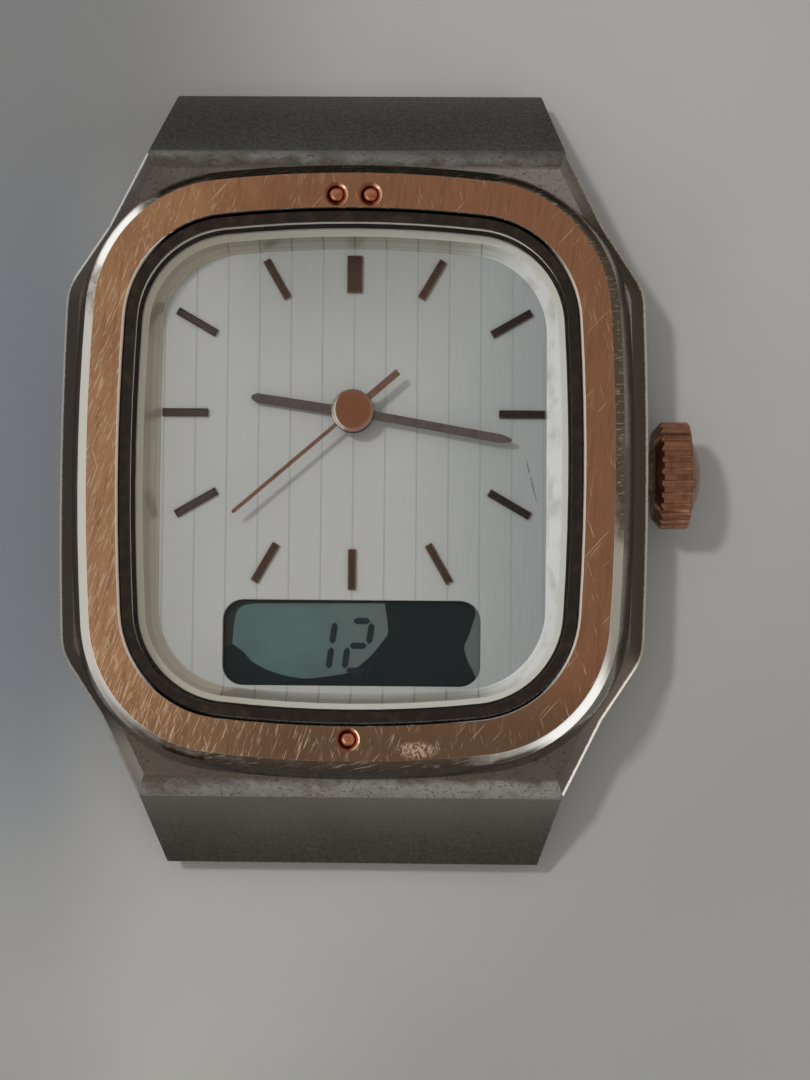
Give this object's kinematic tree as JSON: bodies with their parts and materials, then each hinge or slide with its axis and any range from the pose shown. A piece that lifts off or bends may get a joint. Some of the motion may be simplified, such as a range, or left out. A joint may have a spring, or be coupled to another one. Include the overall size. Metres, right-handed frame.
{
  "type": "wristwatch head",
  "caption": "Wristwatch head: tapering hooded steel case, rounded rectangular brushed bezel, striped dial with baton markers, hands over a small digital window, and a pull-out crown.",
  "frame": {"origin": "centre of the case back's flat underside", "axes": "+X towards the crown, +Y towards twelve o'clock, +Z out of the dial"},
  "size_m": [0.0299, 0.0366, 0.008],
  "materials": {
    "case_steel": "satin, dull with wear",
    "rose_gold": "brushed",
    "marker_rose": "brushed",
    "hand_rose": "brushed",
    "gasket_black": "satin",
    "crystal_glass": "polished",
    "ring_mirror": "polished",
    "dial_silver": "satin",
    "display_glass": "polished",
    "display_film": "satin",
    "display_dark": "matte",
    "frame_plastic": "matte",
    "holder_plastic": "matte",
    "plate_metal": "satin",
    "wheel_metal": "satin",
    "small_steel": "satin",
    "back_steel": "satin",
    "copper_wire": "satin",
    "board_green": "satin",
    "chip_black": "matte",
    "cell_steel": "polished",
    "clear_film": "satin",
    "strip_rubber": "matte",
    "jewel_red": "polished"
  },
  "bodies": {
    "case": {"case_middle": "case_steel", "bezel": "rose_gold", "bezel_studs": "rose_gold", "crystal": "crystal_glass", "crystal_gasket": "gasket_black", "dial_ring": "ring_mirror", "dial": "dial_silver", "hour_markers": "marker_rose", "stator": "small_steel", "coil_core": "small_steel", "coil_winding": "copper_wire", "train_bridge": "plate_metal", "pivot_jewels": "jewel_red", "bridge_screws": "small_steel", "main_plate": "plate_metal", "movement_holder": "holder_plastic", "lcd_frame": "frame_plastic", "lcd_reflector": "display_film", "lcd_rear_glass": "display_glass", "lcd_segments": "display_dark", "lcd_front_glass": "display_glass", "lcd_polarizer": "display_film", "zebra_strip": "strip_rubber", "circuit_board": "board_green", "board_screws": "small_steel", "chip": "chip_black", "quartz_can": "small_steel", "trimmer": "holder_plastic", "battery": "cell_steel", "battery_insulator": "clear_film", "battery_clamp": "small_steel", "clamp_screw": "small_steel", "yoke": "small_steel", "crown_tube": "case_steel", "case_back": "back_steel", "back_gasket": "gasket_black"},
    "minute": {"minute_hand": "hand_rose", "centre_wheel": "wheel_metal"},
    "hour": {"hour_hand": "hand_rose", "hour_wheel": "wheel_metal"},
    "second": {"second_hand": "hand_rose", "fourth_wheel": "wheel_metal"},
    "minute_reduction": {"minute_wheel": "wheel_metal"},
    "setting": {"setting_wheel": "small_steel"},
    "third": {"third_wheel": "wheel_metal"},
    "fifth": {"fifth_wheel": "wheel_metal"},
    "rotor_body": {"rotor": "small_steel"},
    "clutch": {"clutch_wheel": "small_steel"},
    "winder": {"crown": "rose_gold", "stem": "small_steel", "crown_gasket": "gasket_black"},
    "lever": {"setting_lever": "small_steel"}
  },
  "joints": [
    {"name": "minute_spin", "type": "hinge", "parent": "case", "child": "minute", "pos_m": [0, 0.00264, 0], "axis": [0, 0, -1], "continuous": true},
    {"name": "hour_spin", "type": "hinge", "parent": "case", "child": "hour", "pos_m": [0, 0.00264, 0], "axis": [0, 0, -1], "continuous": true},
    {"name": "second_spin", "type": "hinge", "parent": "case", "child": "second", "pos_m": [0, 0.00264, 0], "axis": [0, 0, -1], "continuous": true},
    {"name": "minute_wheel_spin", "type": "hinge", "parent": "case", "child": "minute_reduction", "pos_m": [0.00153, 0.00135, 0], "axis": [0, 0, -1], "continuous": true},
    {"name": "setting_wheel_spin", "type": "hinge", "parent": "case", "child": "setting", "pos_m": [0.0038, 0.0003, 0], "axis": [0, 0, -1], "continuous": true},
    {"name": "third_spin", "type": "hinge", "parent": "case", "child": "third", "pos_m": [-0.00221, 0.00392, 0], "axis": [0, 0, -1], "continuous": true},
    {"name": "fifth_spin", "type": "hinge", "parent": "case", "child": "fifth", "pos_m": [0.0013, 0.00489, 0], "axis": [0, 0, -1], "continuous": true},
    {"name": "rotor_spin", "type": "hinge", "parent": "case", "child": "rotor_body", "pos_m": [0.00257, 0.00641, 0], "axis": [0, 0, -1], "continuous": true},
    {"name": "crown_spin", "type": "hinge", "parent": "case", "child": "clutch", "pos_m": [0, 0, 0.0034], "axis": [1, 0, 0], "continuous": true},
    {"name": "crown_pull", "type": "slide", "parent": "clutch", "child": "winder", "axis": [1, 0, 0], "range_m": [-0.00015, 0.0009]},
    {"name": "lever_swing", "type": "hinge", "parent": "case", "child": "lever", "pos_m": [0.00835, -0.0021, 0], "axis": [0, 0, -1], "range_deg": [-6, 32]}
  ],
  "couplings": [
    {"joint": "hour_spin", "follows": "minute_spin", "ratio": 0.083333},
    {"joint": "second_spin", "follows": "minute_spin", "ratio": 60},
    {"joint": "minute_wheel_spin", "follows": "minute_spin", "ratio": -0.33333},
    {"joint": "setting_wheel_spin", "follows": "minute_spin", "ratio": 0.5},
    {"joint": "third_spin", "follows": "minute_spin", "ratio": -8},
    {"joint": "fifth_spin", "follows": "minute_spin", "ratio": -180},
    {"joint": "rotor_spin", "follows": "minute_spin", "ratio": 1800},
    {"joint": "lever_swing", "follows": "crown_pull", "rad_per_m": 609.31}
  ]
}
